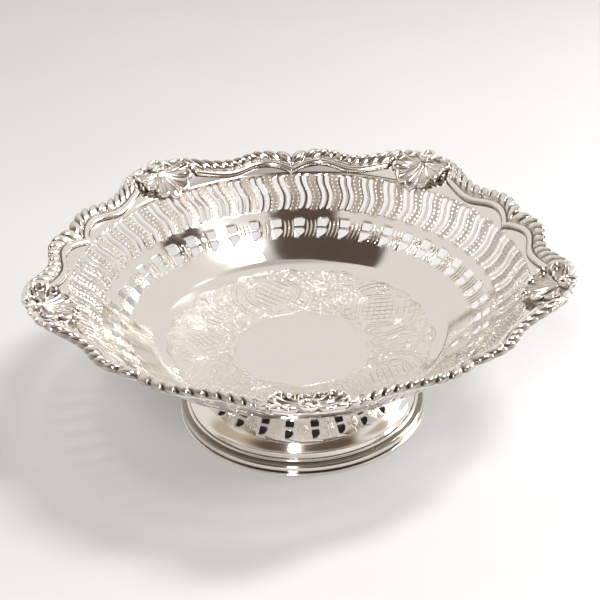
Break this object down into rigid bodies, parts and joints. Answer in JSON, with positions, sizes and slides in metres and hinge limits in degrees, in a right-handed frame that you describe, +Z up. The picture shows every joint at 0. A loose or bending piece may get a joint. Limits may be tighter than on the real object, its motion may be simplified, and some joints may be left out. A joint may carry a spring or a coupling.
{
  "type": "candy dish",
  "caption": "Footed round dish with a pierced sloping wall, a bracket-shaped gadroon and shell border, and a flaring pierced foot on a moulded ring, for serving sweets.",
  "frame": {"origin": "centre of the base ring on the table plane", "axes": "+Z up along the axis of the dish, -Y towards one shell corner"},
  "size_m": [0.2034, 0.2031, 0.0711],
  "materials": {
    "silver_plate": "polished silver plate on nickel silver sheet",
    "cast_silver_plate": "polished silver plate on cast mounts, darker in the recesses"
  },
  "bodies": {
    "root": {"bowl": "silver_plate", "border_strip_1": "cast_silver_plate", "border_strip_2": "cast_silver_plate", "border_strip_3": "cast_silver_plate", "border_strip_4": "cast_silver_plate", "border_strip_5": "cast_silver_plate", "shell_1": "cast_silver_plate", "shell_2": "cast_silver_plate", "shell_3": "cast_silver_plate", "shell_4": "cast_silver_plate", "shell_5": "cast_silver_plate", "foot": "silver_plate", "base_ring": "silver_plate"}
  },
  "joints": []
}
